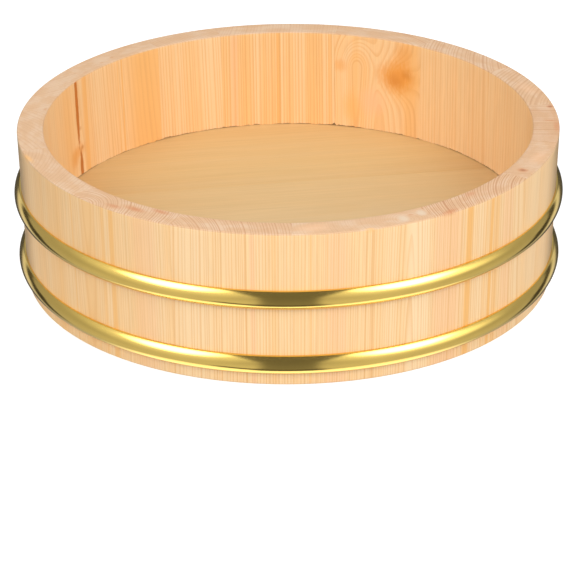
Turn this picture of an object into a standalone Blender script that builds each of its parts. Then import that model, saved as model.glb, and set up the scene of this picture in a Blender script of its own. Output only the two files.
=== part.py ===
"""Sushi rice tub (hangiri): an open, low tub of bare wood with two brass hoops.

Upright staves with bevelled edges stand in a ring. Bamboo pins join each stave to the next. A floor of
three edge-pinned boards sits in a groove cut round the inside of the staves, and two rolled half-round
hoops hold the ring together. Nothing moves.

Units are metres and +Z is up. The origin is the middle of the foot, on the surface that the tub stands
on. The front of the tub faces -Y. Angles round the tub start at the front and grow towards +X.
"""

from math import acos, ceil, cos, pi, radians, sin, tan

import bmesh
import bpy
from mathutils import Matrix, Vector

OBJECT_NAME = "sushi_rice_tub"

# Tub wall
RIM_RADIUS = 0.150
HEIGHT = 0.0877
SIDE_TAPER = 0.0023
WALL = 0.0145
RIM_ROUND = 0.0007
FOOT_ROUND = 0.0014

# Where one stave meets the next, in degrees from the front
JOINT_ANGLES = [0.6, 30.0, 57.0, 77.0, 98.0, 121.0, 144.5, 168.0,
                197.0, 214.4, 239.5, 264.0, 285.8, 311.3, 336.1]
STAVE_STEP = radians(4.0)

# Floor and the groove that holds it
FLOOR_TOP = 0.0289
FLOOR_THICKNESS = 0.0130
GROOVE_DEPTH = 0.0045
FLOOR_CHAMFER = 0.0010
FLOOR_BOARDS = 3
FLOOR_GRAIN_ANGLE = radians(9.0)
FLOOR_SEGMENTS = 90

# Hoops, each named with the height of its middle
HOOPS = {"upper_hoop": 0.0503, "lower_hoop": 0.0125}
HOOP_HEIGHT = 0.0106
HOOP_BULGE = 0.0038
HOOP_SHEET = 0.0010
HOOP_SEGMENTS = 84
HOOP_ARC_POINTS = 8

# Bamboo pins
PIN_RADIUS = 0.0020
PIN_CHAMFER = 0.0007
PIN_SIDES = 8
STAVE_PIN_LENGTH = 0.024
UPPER_PIN_BELOW_RIM = 0.018
LOWER_PIN_ABOVE_FLOOR = 0.012
FLOOR_PIN_LENGTH = 0.030
FLOOR_PIN_FROM_CENTRE = 0.060

# Clearances
JOINT_GAP = 0.0003
FLOOR_CLEARANCE = 0.0003
HOOP_CLEARANCE = 0.0003
PIN_CLEARANCE = 0.0003

# Colours, linear
WOOD = (0.93, 0.66, 0.36)
FLOOR_WOOD = (0.84, 0.56, 0.29)
BAMBOO = (0.80, 0.62, 0.32)
BRASS = (0.72, 0.52, 0.18)
WOOD_ROUGHNESS = 0.6
BRASS_ROUGHNESS = 0.2

SHARP_ANGLE = radians(30.0)
EDGE_LIMIT = radians(60.0)
MERGE_DISTANCE = 0.00001


def outer_radius(z):
    """Radius of the wall's outer face at a height."""
    return RIM_RADIUS - SIDE_TAPER * (1.0 - z / HEIGHT)


def inner_radius(z):
    """Radius of the wall's inner face at a height."""
    return outer_radius(z) - WALL


def rounded(outline, radii, steps=2):
    """The closed outline with each corner of a given radius turned into an arc."""
    points = []
    for index, corner in enumerate(outline):
        radius = radii[index]
        if radius == 0.0:
            points.append(corner)
            continue
        to_last = (outline[index - 1] - corner).normalized()
        to_next = (outline[(index + 1) % len(outline)] - corner).normalized()
        half_angle = acos(max(-1.0, min(1.0, to_last.dot(to_next)))) / 2.0
        centre = corner + (to_last + to_next).normalized() * radius / sin(half_angle)
        start = corner + to_last * radius / tan(half_angle) - centre
        end = corner + to_next * radius / tan(half_angle) - centre
        turn = start.angle(end)
        for step in range(steps + 1):
            share = step / steps
            arm = (start * sin((1.0 - share) * turn) + end * sin(share * turn)) / sin(turn)
            points.append(centre + arm)
    return points


def add_object(name, mesh, collection, parent=None):
    """A named object in a collection, under the tub's empty."""
    piece = bpy.data.objects.new(name, mesh)
    collection.objects.link(piece)
    piece.parent = parent
    return piece


def paint(piece, colour, roughness, metallic=0.0):
    """Gives the piece its own material."""
    material = bpy.data.materials.new(piece.name)
    material.use_nodes = True
    shader = material.node_tree.nodes["Principled BSDF"]
    shader.inputs["Base Color"].default_value = (*colour, 1.0)
    shader.inputs["Roughness"].default_value = roughness
    shader.inputs["Metallic"].default_value = metallic
    piece.data.materials.append(material)


def shade(mesh):
    """Smooth round faces with sharp corners."""
    mesh.shade_smooth()
    mesh.set_sharp_from_angle(angle=SHARP_ANGLE)


def cut(piece, cutter, operation="DIFFERENCE"):
    """Cuts the piece with a closed cutter."""
    boolean = piece.modifiers.new(cutter.name, "BOOLEAN")
    boolean.operation = operation
    boolean.solver = "EXACT"
    boolean.object = cutter


def as_cutter(piece):
    """Marks an object as a tool that is not part of the tub."""
    piece.hide_render = True
    piece.display_type = "WIRE"
    return piece


def round_bar_mesh(name, radius, length):
    """A bar along Z with the pins' number of sides."""
    bm = bmesh.new()
    bmesh.ops.create_cone(bm, cap_ends=True, segments=PIN_SIDES, radius1=radius, radius2=radius,
                          depth=length)
    mesh = bpy.data.meshes.new(name)
    bm.to_mesh(mesh)
    bm.free()
    return mesh


def chamfer(piece, width):
    """Breaks the sharp edges of a piece."""
    bevel = piece.modifiers.new("chamfer", "BEVEL")
    bevel.width = width
    bevel.segments = 1
    bevel.limit_method = "ANGLE"
    bevel.angle_limit = EDGE_LIMIT


def add_pin(name, length, matrix, parts, tools, parent):
    """A bamboo pin and the hole it sits in: returns the cutter for the hole."""
    pin = add_object(name, round_bar_mesh(name, PIN_RADIUS, length), parts, parent)
    pin.matrix_local = matrix
    paint(pin, BAMBOO, WOOD_ROUGHNESS)
    chamfer(pin, PIN_CHAMFER)
    hole_mesh = round_bar_mesh(name + "_hole", PIN_RADIUS + PIN_CLEARANCE, length + 2.0 * PIN_CLEARANCE)
    hole = as_cutter(add_object(name + "_hole", hole_mesh, tools, parent))
    hole.matrix_local = matrix
    return hole


def stave_outline():
    """Cross-section of a stave in radius and height, with the groove for the floor."""
    groove_top = FLOOR_TOP + FLOOR_CLEARANCE
    groove_bottom = FLOOR_TOP - FLOOR_THICKNESS - FLOOR_CLEARANCE
    corners = [
        (outer_radius(0.0), 0.0, FOOT_ROUND),
        (outer_radius(HEIGHT), HEIGHT, RIM_ROUND),
        (inner_radius(HEIGHT), HEIGHT, RIM_ROUND),
        (inner_radius(groove_top), groove_top, 0.0),
        (groove_radius(), groove_top, 0.0),
        (groove_radius(), groove_bottom, 0.0),
        (inner_radius(groove_bottom), groove_bottom, 0.0),
        (inner_radius(0.0), 0.0, FOOT_ROUND),
    ]
    outline = [Vector((radius, height)) for radius, height, fillet in corners]
    return rounded(outline, [fillet for radius, height, fillet in corners])


def groove_radius():
    """Radius of the bottom of the floor's groove."""
    return inner_radius(FLOOR_TOP) + GROOVE_DEPTH


def stave_mesh(name, width):
    """One stave, its section swept round the tub's axis through its width, centred on +X."""
    bm = bmesh.new()
    turn = Matrix.Rotation(-width / 2.0, 4, "Z")
    corners = [bm.verts.new(turn @ Vector((point.x, 0.0, point.y))) for point in stave_outline()]
    section = bm.faces.new(corners)
    bmesh.ops.spin(bm, geom=[section, *section.edges, *section.verts], cent=(0.0, 0.0, 0.0),
                   axis=(0.0, 0.0, 1.0), angle=width, steps=ceil(width / STAVE_STEP))
    bmesh.ops.recalc_face_normals(bm, faces=bm.faces)
    mesh = bpy.data.meshes.new(name)
    bm.to_mesh(mesh)
    bm.free()
    shade(mesh)
    return mesh


def add_staves(parts, parent):
    """The ring of staves, from the front joint round towards +X."""
    staves = []
    gap_angle = JOINT_GAP / (RIM_RADIUS - WALL)
    for index, start in enumerate(JOINT_ANGLES):
        end = JOINT_ANGLES[(index + 1) % len(JOINT_ANGLES)]
        width = radians((end - start) % 360.0)
        name = f"stave_{index + 1:02d}"
        stave = add_object(name, stave_mesh(name, width - gap_angle), parts, parent)
        stave.rotation_euler.z = radians(start) + width / 2.0 - pi / 2.0
        paint(stave, WOOD, WOOD_ROUGHNESS)
        staves.append(stave)
    return staves


def add_stave_pins(staves, parts, tools, parent):
    """Two bamboo pins across each joint, in the middle of the wall."""
    heights = {"upper": HEIGHT - UPPER_PIN_BELOW_RIM, "lower": FLOOR_TOP + LOWER_PIN_ABOVE_FLOOR}
    for index, joint in enumerate(JOINT_ANGLES):
        for level, height in heights.items():
            middle = outer_radius(height) - WALL / 2.0
            across = (Matrix.Rotation(radians(joint) - pi / 2.0, 4, "Z")
                      @ Matrix.Translation((middle, 0.0, height))
                      @ Matrix.Rotation(pi / 2.0, 4, "X"))
            hole = add_pin(f"{level}_pin_{index + 1:02d}", STAVE_PIN_LENGTH, across, parts, tools, parent)
            cut(staves[index - 1], hole)
            cut(staves[index], hole)


def add_floor(parts, tools, parent):
    """The floor: boards with pinned edges, turned together as one disc that sits in the groove."""
    radius = groove_radius() * cos(STAVE_STEP / 2.0) - FLOOR_CLEARANCE
    board_width = 2.0 * radius / FLOOR_BOARDS
    middle = FLOOR_TOP - FLOOR_THICKNESS / 2.0
    lie = Matrix.Translation((0.0, 0.0, middle)) @ Matrix.Rotation(FLOOR_GRAIN_ANGLE, 4, "Z")
    boards = []
    for index in range(FLOOR_BOARDS):
        name = f"floor_board_{index + 1}"
        bm = bmesh.new()
        bmesh.ops.create_cone(bm, cap_ends=True, segments=FLOOR_SEGMENTS, radius1=radius, radius2=radius,
                              depth=FLOOR_THICKNESS)
        mesh = bpy.data.meshes.new(name)
        bm.to_mesh(mesh)
        bm.free()
        shade(mesh)
        board = add_object(name, mesh, parts, parent)
        board.matrix_local = lie
        paint(board, FLOOR_WOOD, WOOD_ROUGHNESS)
        chamfer(board, FLOOR_CHAMFER)
        strip_mesh = bpy.data.meshes.new(name + "_strip")
        bm = bmesh.new()
        bmesh.ops.create_cube(bm, size=1.0)
        size = (4.0 * radius, board_width - JOINT_GAP, 2.0 * FLOOR_THICKNESS, 1.0)
        bmesh.ops.transform(bm, matrix=Matrix.Diagonal(size), verts=bm.verts)
        bm.to_mesh(strip_mesh)
        bm.free()
        strip = as_cutter(add_object(name + "_strip", strip_mesh, tools, parent))
        across = board_width * (index + 0.5) - radius
        strip.matrix_local = lie @ Matrix.Translation((0.0, across, 0.0))
        cut(board, strip, "INTERSECT")
        boards.append(board)
    for seam in range(1, FLOOR_BOARDS):
        for side, place in (("left", -FLOOR_PIN_FROM_CENTRE), ("right", FLOOR_PIN_FROM_CENTRE)):
            across = (lie @ Matrix.Translation((place, board_width * seam - radius, 0.0))
                      @ Matrix.Rotation(pi / 2.0, 4, "X"))
            hole = add_pin(f"floor_pin_{seam}_{side}", FLOOR_PIN_LENGTH, across, parts, tools, parent)
            cut(boards[seam - 1], hole)
            cut(boards[seam], hole)


def hoop_outline(middle):
    """Section of a rolled half-round hoop: a bulged sheet whose two edges rest on the wall."""
    points = []
    for inset, ends in ((0.0, (90.0, -90.0)), (HOOP_SHEET, (-90.0, 90.0))):
        for step in range(HOOP_ARC_POINTS):
            angle = radians(ends[0] + (ends[1] - ends[0]) * step / (HOOP_ARC_POINTS - 1))
            height = middle + (HOOP_HEIGHT / 2.0 - inset) * sin(angle)
            bulge = (HOOP_BULGE - inset) * cos(angle)
            seat = (outer_radius(height) + HOOP_CLEARANCE) / cos(pi / HOOP_SEGMENTS)
            points.append((seat + bulge, height))
    return points


def add_hoop(name, middle, parts, parent):
    """A hoop turned from its section round the tub."""
    outline = hoop_outline(middle)
    mesh = bpy.data.meshes.new(name)
    edges = [(index, (index + 1) % len(outline)) for index in range(len(outline))]
    mesh.from_pydata([(radius, 0.0, height) for radius, height in outline], edges, [])
    hoop = add_object(name, mesh, parts, parent)
    screw = hoop.modifiers.new("turn", "SCREW")
    screw.angle = 2.0 * pi
    screw.steps = HOOP_SEGMENTS
    screw.render_steps = HOOP_SEGMENTS
    screw.use_merge_vertices = True
    screw.merge_threshold = MERGE_DISTANCE
    screw.use_smooth_shade = True
    paint(hoop, BRASS, BRASS_ROUGHNESS, metallic=1.0)


def clear_scene():
    """Removes what the scene holds."""
    for old in list(bpy.data.objects):
        bpy.data.objects.remove(old, do_unlink=True)


def main():
    """Builds the tub."""
    clear_scene()
    parts = bpy.data.collections.new(OBJECT_NAME)
    tools = bpy.data.collections.new("cutters")
    bpy.context.scene.collection.children.link(parts)
    bpy.context.scene.collection.children.link(tools)
    foot_centre = bpy.data.objects.new("foot_centre", None)
    parts.objects.link(foot_centre)

    staves = add_staves(parts, foot_centre)
    add_stave_pins(staves, parts, tools, foot_centre)
    add_floor(parts, tools, foot_centre)
    for name, middle in HOOPS.items():
        add_hoop(name, middle, parts, foot_centre)


main()
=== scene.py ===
"""Sushi rice tub (hangiri) in bare softwood with two brass hoops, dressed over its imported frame.

Every stave is cut from solid wood: its material works out growth rings round a pith line, so the same
rings show as straight grain on the walls and as arcs on the end grain of the rim. The staves stand in a
ring and the frame gives their joints. Sizes are in metres, +Z is up and the front of the tub faces -Y.
Angles round the tub start at the front and grow towards +X.
"""

from functools import cache, partial, reduce
from math import cos, pi, radians, sin, tan

import bpy
import numpy as np
from bpy.props import FloatProperty, FloatVectorProperty, IntProperty, PointerProperty
from mathutils import Matrix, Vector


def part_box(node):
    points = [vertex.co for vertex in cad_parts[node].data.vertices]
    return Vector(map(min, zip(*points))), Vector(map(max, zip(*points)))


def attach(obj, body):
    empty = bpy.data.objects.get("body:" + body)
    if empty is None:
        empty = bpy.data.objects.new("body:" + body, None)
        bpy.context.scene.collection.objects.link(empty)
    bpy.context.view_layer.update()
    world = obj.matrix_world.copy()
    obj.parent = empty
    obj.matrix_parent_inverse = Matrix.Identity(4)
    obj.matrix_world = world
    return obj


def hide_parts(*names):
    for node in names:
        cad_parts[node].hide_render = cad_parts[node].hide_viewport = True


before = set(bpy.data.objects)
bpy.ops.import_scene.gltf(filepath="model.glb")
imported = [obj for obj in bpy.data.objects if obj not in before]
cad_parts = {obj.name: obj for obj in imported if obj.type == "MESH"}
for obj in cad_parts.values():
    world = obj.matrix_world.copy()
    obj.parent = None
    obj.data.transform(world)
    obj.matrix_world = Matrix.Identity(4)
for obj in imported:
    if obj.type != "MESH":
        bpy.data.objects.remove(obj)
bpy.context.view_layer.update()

bl_info = {
    "name": "Sushi rice tub",
    "version": (1, 0, 0),
    "blender": (4, 5, 0),
    "location": "3D View > Sidebar > Rice tub",
    "description": "Dresses a coopered rice tub in grained wood and polished brass",
    "category": "Object",
}

MM = 0.001


def node_points(name):
    """All corners of a frame node's mesh, as rows of x, y, z."""
    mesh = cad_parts[name].data
    flat = np.empty(len(mesh.vertices) * 3)
    mesh.vertices.foreach_get("co", flat)
    return flat.reshape(-1, 3)


def node_span(name):
    """First and last angle that a stave covers, measured from its own middle direction."""
    x, y, z = node_points(name).T
    middle = np.arctan2(x.mean(), -y.mean())
    turn = (np.arctan2(x, -y) - middle + pi) % (2.0 * pi) - pi
    return middle + turn.min(), middle + turn.max()


STAVE_NAMES = sorted(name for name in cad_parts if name.startswith("stave_"))
BOARD_NAMES = sorted(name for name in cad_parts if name.startswith("floor_board_"))
PIN_NAMES = sorted(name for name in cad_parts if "_pin_" in name)
HOOP_NAMES = ("upper_hoop", "lower_hoop")

HEIGHT = float(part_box(STAVE_NAMES[0])[1][2])
FLOOR_TOP = float(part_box(BOARD_NAMES[0])[1][2])
FLOOR_UNDERSIDE = float(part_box(BOARD_NAMES[0])[0][2])
FLOOR_RADIUS = float(np.hypot(*node_points(BOARD_NAMES[1])[:, :2].T).max())

# How each stave was sawn from its log: where the pith lies along the wall from the stave's middle and
# out from the wall's outer face, and how wide the growth rings are, all in millimetres; how far the
# pith line leans along the wall and inwards; how strong the rings show on the faces and on the sawn
# ends, and how much heartwood the stave has.
STAVE_CUTS = {
    "stave_01": (24, -7, 1.3, 0.0, 0.0, 0.8, 0.35, 0.2),
    "stave_02": (54, 35, 1.35, 0.0, 0.0, 0.9, 1.4, 0.3),
    "stave_03": (-90, 10, 1.3, 0.0, 0.0, 0.3, 0.7, 0.2),
    "stave_04": (120, -10, 1.3, 0.0, 0.0, 0.5, 1.3, 0.3),
    "stave_05": (-70, 60, 2.4, 0.02, 0.0, 0.38, 0.7, 0.15),
    "stave_06": (-95, 70, 1.9, 0.01, 0.0, 0.5, 0.7, 0.25),
    "stave_07": (18, -75, 1.6, 0.0, 0.0, 0.75, 0.5, 0.75),
    "stave_08": (150, 12, 1.8, 0.01, 0.0, 1.1, 0.35, 0.6),
    "stave_09": (-130, 30, 1.9, 0.012, 0.0, 0.7, 0.4, 0.35),
    "stave_10": (-110, 80, 1.9, 0.02, 0.0, 0.6, 0.4, 0.4),
    "stave_11": (-80, 90, 2.3, 0.0, 0.0, 0.4, 0.35, 0.3),
    "stave_12": (60, 80, 2.6, 0.0, 0.01, 0.3, 0.35, 0.1),
    "stave_13": (-60, 50, 2, 0.01, 0.0, 0.4, 0.4, 0.4),
    "stave_14": (-23, 5, 1.5, 0.0, 0.0, 0.5, 0.9, 0.35),
    "stave_15": (-75, 26, 1.55, 0.0, 0.0, 0.85, 0.9, 0.15),
}

# How strongly the rings show on a face: once under the stripes, and once more over them.
FACE_SHOW = 0.35
STRIPE_SHOW = 0.75

# How fine the wood's noises are, in waves per metre across, through and along the fibres.
BEND_SCALE = (32.0, 32.0, 6.0)
CLOUD_SCALE = (22.0, 22.0, 5.0)
FIBRE_SCALE = (1500.0, 1500.0, 22.0)
STRAY_SCALE = (60.0, 60.0, 14.0)
RAG_SCALE = (900.0, 900.0, 300.0)
PORE_SCALE = (1400.0, 1400.0, 200.0)
PATCH_SCALE = (75.0, 150.0, 20.0)

# How finely the surfaces are worked, in metres: the wood's grain, the brass's polishing lines, and the
# heights over the rim between which a stave's face turns into its sawn end.
GRAIN_DEPTH = 0.00003
POLISH_DEPTH = 0.00001
END_EDGE = (-0.0009, -0.00025)

# How far in from the rim's outer edge the outside starts, where hands hold the tub, and is full, in metres.
HANDLED_DEPTHS = (0.008, 0.006)

# Stripes that run up a stave: angle round the tub, width in millimetres, strength and colour.
STRIPES = {
    "stave_01": [
        (2, 8, 0.15, "warm"), (4.3, 1.2, 0.5, "warm"), (7.6, 1.0, 0.45, "warm"), (9.4, 12, 0.5, "pink"),
        (15.3, 0.7, 0.5, "ring"), (16.7, 1.5, 0.55, "ring"), (20.5, 8, 0.35, "cream"),
        (26.6, 13, 0.9, "cream")],
    "stave_02": [
        (33.5, 18, 0.55, "pink"), (36.9, 0.8, 0.5, "ring"), (38.9, 4.2, 0.95, "warm"),
        (42, 5, 0.4, "cream"), (43.6, 1.0, 0.35, "warm"), (45.3, 2.4, 0.95, "warm"), (46.9, 4, 0.5, "warm"),
        (50.5, 9, 0.4, "pink"), (54.5, 7, 0.3, "cream")],
    "stave_03": [(64, 0.8, 0.3, "ring"), (62.4, 9, 0.25, "cream")],
    "stave_07": [(148, 9, 0.45, "warm"), (162, 4, 0.3, "warm"), (167.6, 1.2, 0.6, "warm")],
    "stave_08": [
        (169, 1.4, 0.6, "warm"), (170.6, 2.2, 0.55, "warm"), (178, 7, 0.25, "cream"),
        (182.4, 2.4, 0.8, "warm"), (182.1, 1.2, 0.6, "ring"), (187.5, 4, 0.25, "cream"),
        (192.6, 4.5, 0.6, "pink"), (196.2, 3.6, 0.9, "warm"), (196.6, 1.6, 0.7, "ring")],
    "stave_09": [(200, 12, 0.35, "cream"), (210, 3, 0.2, "warm")],
    "stave_10": [
        (217.5, 34, 0.75, "warm"), (226.1, 1.2, 0.8, "warm"), (227.4, 0.9, 0.5, "warm"),
        (233, 14, 0.25, "cream")],
    "stave_11": [(241, 8, 0.8, "warm"), (251, 22, 0.15, "warm")],
    "stave_13": [(310.2, 1.2, 0.5, "warm"), (303, 14, 0.35, "warm")],
    "stave_14": [
        (315.4, 11, 0.45, "warm"), (319.6, 2.4, 0.4, "warm"), (321.9, 3.4, 0.75, "warm"),
        (330, 14, 0.4, "pink")],
    "stave_15": [
        (340.5, 16, 0.45, "cream"), (352.7, 2.8, 0.6, "pink"), (351.3, 0.8, 0.5, "ring"),
        (357, 3, 0.25, "warm")],
}

# Knots that push the rings of a stave aside: angle, depth in from the rim's outer edge and depth below
# the rim; reach across, through and along the stave; how far the rings move, in millimetres; and the
# tail, 1 for a round knot and less for an arch with long legs.
RING_LIFTS = {
    "stave_01": [(26, 7, 0, 4, 3, 4, 1.2, 1.0)],
    "stave_07": [(150.3, 14, 23, 12, 20, 12, 7, 1.0), (162.4, 14, 21, 9, 20, 15, 13, 0.0)],
    "stave_11": [(244, 14, 42, 3, 20, 5, 2, 1.0)],
}

# Pitch, knots and tinted end grain: angle, depth in, depth below the rim; reach across, through and
# along the stave in millimetres; share of the reach that is solid, strength, and which colour.
RESIN_SPOTS = {
    "stave_01": [
        (5, 7, 0, 13, 8, 3, 0.1, 0.4, "pink"), (24.1, 6, 0, 4.2, 5.5, 3, 0.2, 0.8, "end_white"),
        (28.7, 8, 0, 3.8, 5, 3, 0.2, 0.8, "end_white"), (26.2, 8.5, 0, 2.4, 1.2, 3, 0.1, 0.6, "red"),
        (16, 0.5, 0, 4, 2, 3, 0.1, 0.5, "warm")],
    "stave_02": [(34, 1.5, 0, 8, 3, 3, 0.1, 0.7, "red"), (43, 11, 0, 6, 3, 3, 0.1, 0.6, "red")],
    "stave_03": [
        (60.3, 6.6, 0, 3.7, 4.4, 4, 0.1, 0.9, "red"), (60.3, 6.6, 0, 1.9, 2.6, 4, 0.1, 0.4, "resin"),
        (68, 5, 0, 14, 6, 3, 0.1, 0.3, "pink")],
    "stave_04": [
        (96.6, 2.4, 0, 3, 3, 4, 0.1, 0.85, "red"), (96.6, 2.4, 0, 1.9, 2, 4, 0.1, 0.4, "resin"),
        (85.5, 1.5, 0, 12, 3, 3, 0.1, 0.6, "red"), (88.7, 5, 0, 0.9, 5, 3, 0.2, 0.8, "red")],
    "stave_05": [(108, 7, 0, 14, 7, 3, 0.1, 0.3, "pink")],
    "stave_07": [
        (158, 14.5, 41, 13, 5, 13, 0.2, 0.75, "pink"), (163.5, 14.5, 46, 9, 5, 15, 0.2, 0.6, "warm"),
        (149, 14.5, 24, 16, 5, 24, 0.05, 0.75, "warm"), (149.6, 14.5, 9, 9, 4, 15, 0.1, 0.5, "knot"),
        (150.6, 14.5, 23, 18, 4, 14, 0.25, 0.85, "knot"), (151.6, 14.5, 25, 8, 4, 7, 0.05, 0.3, "pitch"),
        (148.4, 14.5, 20, 6, 4, 5, 0.05, 0.3, "pitch"), (166.5, 14.5, 20, 6, 4, 6, 0.1, 0.4, "knot")],
    "stave_10": [
        (227, 9, 0, 1.8, 1.4, 3, 0.1, 0.5, "red"), (231, 10.5, 0, 2, 1.2, 3, 0.1, 0.4, "red"),
        (238, 12, 0, 2.2, 1.2, 3, 0.1, 0.4, "red")],
    "stave_11": [
        (262.6, 12.8, 0, 2.4, 1.3, 3, 0.1, 0.5, "red"), (244.4, 14.5, 43, 13, 5, 6, 0.1, 0.6, "knot"),
        (248.5, 14.5, 30, 16, 5, 50, 0.3, 0.25, "warm"), (246.6, 14.5, 47, 7, 5, 7, 0.1, 0.6, "knot"),
        (244.2, 14.5, 14, 2.4, 5, 34, 0.1, 0.6, "knot"), (244.2, 14.5, 14, 1.8, 5, 32, 0.7, 0.92, "pitch"),
        (243.6, 14.5, 54, 2, 5, 13, 0.7, 0.92, "pitch"), (242.9, 14.5, 42, 2.6, 5, 2, 0.1, 0.5, "pitch"),
        (243.2, 14.5, 30, 2, 5, 2, 0.1, 0.3, "pitch")],
    "stave_13": [(290, 0.8, 0, 9, 3, 3, 0.1, 0.6, "warm"), (286.5, 7, 0, 5, 5, 3, 0.1, 0.5, "end_cream")],
    "stave_14": [
        (321.5, 4.5, 0, 8, 3, 3, 0.0, 0.75, "red"), (326, 8, 0, 9, 3.5, 3, 0.0, 0.9, "red"),
        (331.5, 11.8, 0, 9, 2.8, 3, 0.0, 0.85, "red")],
}

# Torn chips along the floor that can be told apart: angle, height in millimetres, half width in degrees.
CHIPS = ((168.0, 0.9, 0.35), (212.0, 0.5, 0.6), (190.5, 0.55, 0.4))

# Where the pith lies across and below each floor board, in metres, and how steeply it rises along it.
BOARD_CUTS = ((0.052, -0.055, 0.02), (0.008, -0.070, -0.012), (-0.08, -0.06, 0.01))

# How far the floor is pressed into the wall's groove, half the seam between two boards, and the boards'
# softened edges with the half width that they are measured on, in metres.
FLOOR_PRESS = 0.0002
BOARD_SEAM = 0.00001
BOARD_CHAMFER = 0.00005
BOARD_HALF_WIDTH = 0.05

# How finely the wood is cut into faces: the points on a rounded corner, the angle between two columns of
# a stave, the fewest columns that it has, and the points along each side of a floor board.
CORNER_POINTS = 6
COLUMN_STEP = radians(0.3)
LEAST_COLUMNS = 8
SIDE_POINTS = 60

# How high over the floor the wall's lower edge is still torn, the least gap that it leaves there, and
# how many small chips there are round the floor besides those at the joints.
TORN_HEIGHT = 0.0015
LEAST_GAP = 0.00002
LOOSE_CHIPS = 110

# The air between the wall and a hoop, in metres, the steps that a hoop's section takes round it, and the
# points on the section's face, on each of its shoulders and on its back.
HOOP_CLEARANCE = 0.00004
HOOP_STEPS = 720
FACE_POINTS = 33
SHOULDER_POINTS = 9
BACK_POINTS = 17

# The tent that the brass reflects: its radius in metres, and the columns and rows of its points.
TENT_RADIUS = 6.0
TENT_COLUMNS = 48
TENT_ROWS = 25

# The tent's long soft lamp: its middle, its directions and half its reach along and across them. Then the
# middle of the glow on the right. All are on a ball of radius 1.
LAMP_MIDDLE = (0.61, -0.38, 0.73)
LAMP_ALONG = (0.784, 0.588, -0.196)
LAMP_ACROSS = (0.22, -0.608, -0.763)
LAMP_HALF_LENGTH = 0.3
LAMP_HALF_WIDTH = 0.49
GLOW_MIDDLE = (0.80, -0.36, 0.48)

# How bright the things in the tent are.
LAMP_LEVEL = 5.2
HALO_LEVEL = 0.5
GLOW_LEVEL = 0.8
BACKDROP_LEVEL = 0.8
STAND_LEVEL = 0.06
BEYOND_LEVEL = 0.09
TABLE_LEVEL = 1.7
EDGE_LEVEL = 0.1

# The studio's floor: half its width and how far it lies under the tub, in metres, and how much of its
# white is lit paint and how much its own light. The two soft boxes that light the tub: their width and
# the right one's place in metres, and how much stronger the right one is.
FLOOR_REACH = 20.0
FLOOR_DROP = 0.0001
FLOOR_PAINT = 0.42
FLOOR_GLOW = 0.78
BOX_SIZE = 1.2
BOX_PLACE = (1.02, -1.30, 1.30)
RIGHT_BOX = 1.3

# The kinds of number and colour that a user may change.
Length = partial(FloatProperty, subtype="DISTANCE")
Angle = partial(FloatProperty, subtype="ANGLE")
Share = partial(FloatProperty, subtype="FACTOR", min=0.0, max=1.0)
Tint = partial(FloatVectorProperty, subtype="COLOR")


class TubSizes(bpy.types.PropertyGroup):
    """Sizes of the tub that the frame doesn't state."""
    rim_radius: Length(name="Rim radius", description="Outer radius of the wall at the rim", default=0.150)
    side_taper: Length(name="Side taper", description="How much narrower the foot is", default=0.0023)
    wall: Length(name="Wall", description="Thickness of the staves", default=0.0145)
    rim_round: Length(name="Rim rounding", description="Radius of its softened edges", default=0.0007)
    foot_round: Length(name="Foot rounding", description="Radius of its softened edges", default=0.0014)
    groove_depth: Length(name="Groove depth", description="Depth of the floor's groove", default=0.0045)
    floor_gap: Length(name="Floor gap", description="Dark line round the floor", default=0.0003)
    joint_gap: Length(name="Joint gap", description="Opening between two staves", default=0.00003)
    edge_break: Length(name="Edge break", description="Softening of the staves' long edges", default=0.00006)
    hoop_height: Length(name="Hoop height", description="Height of a hoop's section", default=0.0106)
    hoop_bulge: Length(name="Hoop bulge", description="How far a hoop stands off the wall", default=0.0040)
    hoop_swing: Angle(name="Hoop swing", description="Slope at its shoulders", default=radians(55.0))
    hoop_shoulder: Length(name="Hoop shoulder", description="Radius of its shoulders", default=0.0015)
    hoop_sheet: Length(name="Hoop sheet", description="Thickness of the rolled brass", default=0.0010)
    grain_angle: Angle(name="Floor grain", description="Direction of its grain", default=radians(9.0))
    seed: IntProperty(name="Seed", description="Start of the random chips along the floor", default=7)


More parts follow.
